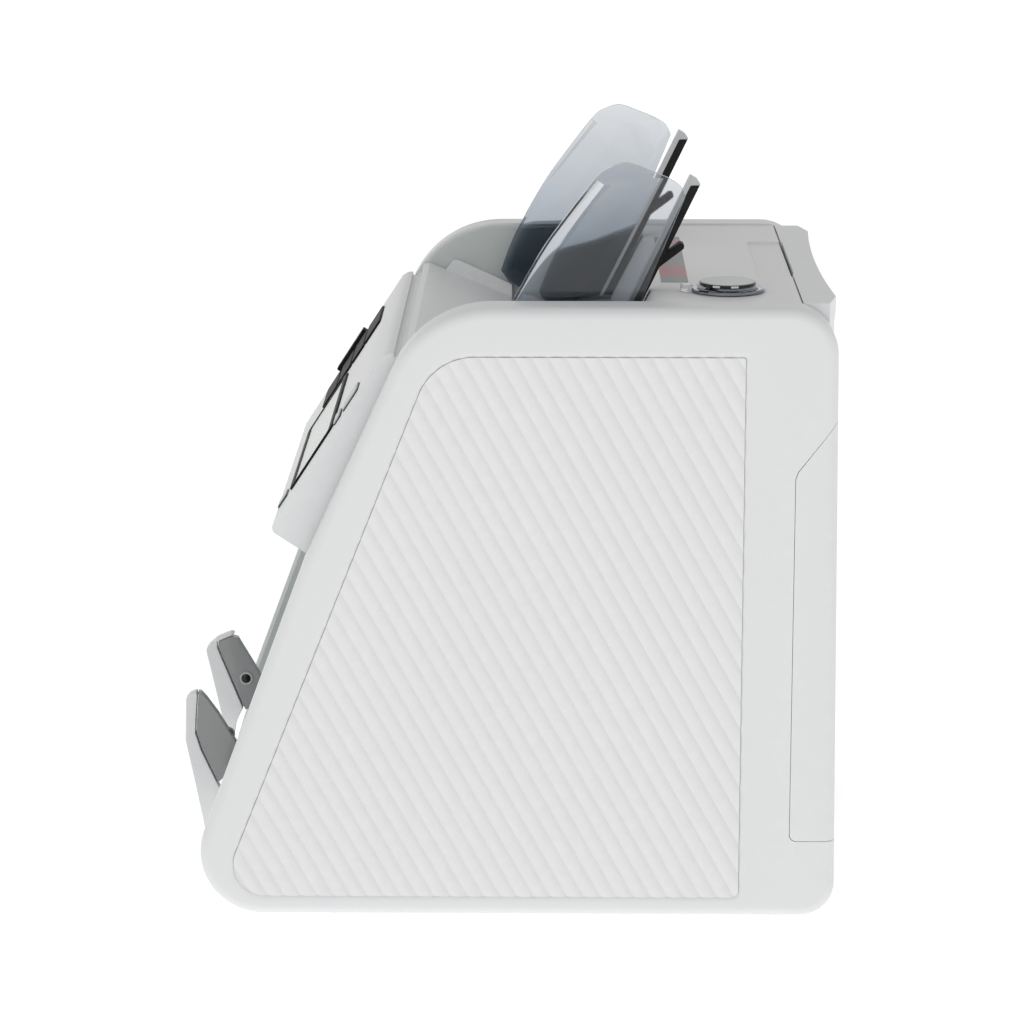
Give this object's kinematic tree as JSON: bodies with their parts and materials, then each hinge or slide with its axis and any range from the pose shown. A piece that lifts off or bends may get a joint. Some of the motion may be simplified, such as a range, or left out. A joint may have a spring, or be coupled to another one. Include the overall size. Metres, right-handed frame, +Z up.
{
  "type": "banknote counting machine",
  "caption": "Desktop banknote counter: sloping key panel, top hopper with smoked side guides, front stacker pocket, rear service door.",
  "frame": {"origin": "centre of the footprint, on the surface the feet stand on", "axes": "+Z up, -Y towards the operator (the key panel and pocket), +X to the operator's right"},
  "size_m": [0.25, 0.2836, 0.325],
  "materials": {
    "white_shell": "fine satin moulded off-white plastic",
    "grey_plastic": "satin grey moulded plastic",
    "smoke_clear": "polished smoke-tinted clear plastic",
    "black_gloss": "glossy black plastic",
    "sheet_steel": "zinc-plated sheet and ground shafts",
    "rubber_parts": "matt rubber",
    "knob_chrome": "bright plated plastic",
    "circuit_board": "solder-masked board"
  },
  "bodies": {
    "machine": {"head_housing": "white_shell", "hopper_front": "white_shell", "top_deck": "white_shell", "stacker_floor": "white_shell", "stacker_arm_left": "white_shell", "stacker_arm_right": "white_shell", "left_side_cover": "white_shell", "right_side_cover": "white_shell", "left_rib_inlay": "white_shell", "right_rib_inlay": "white_shell", "left_liner": "grey_plastic", "right_liner": "grey_plastic", "feed_bed": "grey_plastic", "stacker_plate": "grey_plastic", "rear_panel": "grey_plastic", "arm_window_left": "smoke_clear", "arm_window_right": "smoke_clear", "display_window": "black_gloss", "power_inlet": "black_gloss", "sensor_bar": "black_gloss", "left_chassis_plate": "sheet_steel", "right_chassis_plate": "sheet_steel", "base_tray": "sheet_steel", "motor": "sheet_steel", "power_supply": "sheet_steel", "foot_front_left": "rubber_parts", "foot_front_right": "rubber_parts", "foot_rear_left": "rubber_parts", "foot_rear_right": "rubber_parts", "retard_roller": "rubber_parts", "drive_belt": "rubber_parts", "stacker_belt": "rubber_parts", "knob_ring": "knob_chrome", "main_board": "circuit_board"},
    "rear_door": {"rear_door": "white_shell"},
    "gap_knob": {"knob_cap": "black_gloss"},
    "guide_right": {"hopper_guide_right": "smoke_clear", "note_rest_right": "grey_plastic"},
    "guide_left": {"hopper_guide_left": "smoke_clear", "note_rest_left": "grey_plastic"},
    "rocker": {"power_rocker": "black_gloss"},
    "feed_rotor": {"feed_shaft": "sheet_steel", "feed_roller_left": "rubber_parts", "feed_roller_right": "rubber_parts"},
    "drive_rotor": {"drive_shaft": "sheet_steel", "drive_roller_left": "rubber_parts", "drive_roller_right": "rubber_parts"},
    "pinch_rotor": {"pinch_roller_shaft": "sheet_steel"},
    "stacker_rotor": {"stacker_shaft": "sheet_steel", "stacker_wheel_left": "rubber_parts", "stacker_wheel_right": "rubber_parts"},
    "motor_rotor": {"motor_pulley": "sheet_steel"},
    "key_left_1": {"key_left_1": "black_gloss"},
    "key_left_2": {"key_left_2": "black_gloss"},
    "key_left_3": {"key_left_3": "black_gloss"},
    "key_left_4": {"key_left_4": "black_gloss"},
    "key_start": {"key_start": "black_gloss"},
    "key_right_upper": {"key_right_upper": "black_gloss"},
    "key_right_lower": {"key_right_lower": "black_gloss"},
    "key_power": {"key_power": "black_gloss"}
  },
  "joints": [
    {"name": "rear_door_hinge", "type": "hinge", "parent": "machine", "child": "rear_door", "pos_m": [0, 0.1404, 0.0392], "axis": [-1, 0, 0], "range_deg": [0, 75]},
    {"name": "gap_knob_turn", "type": "hinge", "parent": "machine", "child": "gap_knob", "pos_m": [0.0766, 0.0942, 0.2672], "axis": [0, 0, 1], "range_deg": [-150, 150]},
    {"name": "guide_right_slide", "type": "slide", "parent": "machine", "child": "guide_right", "axis": [-1, 0, 0], "range_m": [0, 0.03]},
    {"name": "guide_left_slide", "type": "slide", "parent": "machine", "child": "guide_left", "axis": [1, 0, 0], "range_m": [0, 0.03]},
    {"name": "power_rocker_tilt", "type": "hinge", "parent": "machine", "child": "rocker", "pos_m": [-0.039, 0.1365, 0.024], "axis": [1, 0, 0], "range_deg": [-8, 8]},
    {"name": "feed_spin", "type": "hinge", "parent": "machine", "child": "feed_rotor", "pos_m": [0, 0.016, 0.213], "axis": [1, 0, 0], "continuous": true},
    {"name": "drive_spin", "type": "hinge", "parent": "machine", "child": "drive_rotor", "pos_m": [0, 0.052, 0.178], "axis": [1, 0, 0], "continuous": true},
    {"name": "pinch_spin", "type": "hinge", "parent": "machine", "child": "pinch_rotor", "pos_m": [0, 0.0784, 0.18], "axis": [1, 0, 0], "continuous": true},
    {"name": "stacker_spin", "type": "hinge", "parent": "machine", "child": "stacker_rotor", "pos_m": [0, -0.046, 0.078], "axis": [1, 0, 0], "continuous": true},
    {"name": "motor_spin", "type": "hinge", "parent": "machine", "child": "motor_rotor", "pos_m": [0, 0.042, 0.084], "axis": [1, 0, 0], "continuous": true},
    {"name": "key_left_1_press", "type": "slide", "parent": "machine", "child": "key_left_1", "axis": [0, 0.8382, -0.5454], "range_m": [0, 0.0009], "stiffness_N_per_m": 400},
    {"name": "key_left_2_press", "type": "slide", "parent": "machine", "child": "key_left_2", "axis": [0, 0.8382, -0.5454], "range_m": [0, 0.0009], "stiffness_N_per_m": 400},
    {"name": "key_left_3_press", "type": "slide", "parent": "machine", "child": "key_left_3", "axis": [0, 0.8382, -0.5454], "range_m": [0, 0.0009], "stiffness_N_per_m": 400},
    {"name": "key_left_4_press", "type": "slide", "parent": "machine", "child": "key_left_4", "axis": [0, 0.8382, -0.5454], "range_m": [0, 0.0009], "stiffness_N_per_m": 400},
    {"name": "key_start_press", "type": "slide", "parent": "machine", "child": "key_start", "axis": [0, 0.8382, -0.5454], "range_m": [0, 0.0015], "stiffness_N_per_m": 400},
    {"name": "key_right_upper_press", "type": "slide", "parent": "machine", "child": "key_right_upper", "axis": [0, 0.8382, -0.5454], "range_m": [0, 0.0009], "stiffness_N_per_m": 400},
    {"name": "key_right_lower_press", "type": "slide", "parent": "machine", "child": "key_right_lower", "axis": [0, 0.8382, -0.5454], "range_m": [0, 0.0009], "stiffness_N_per_m": 400},
    {"name": "key_power_press", "type": "slide", "parent": "machine", "child": "key_power", "axis": [0, 0.8382, -0.5454], "range_m": [0, 0.0006], "stiffness_N_per_m": 400}
  ],
  "couplings": [
    {"joint": "guide_left_slide", "follows": "guide_right_slide", "ratio": 1},
    {"joint": "motor_spin", "follows": "drive_spin", "ratio": 1.5556},
    {"joint": "stacker_spin", "follows": "drive_spin", "ratio": 0.73684},
    {"joint": "pinch_spin", "follows": "drive_spin", "ratio": -2.25},
    {"joint": "feed_spin", "follows": "drive_spin", "ratio": 0.6}
  ]
}
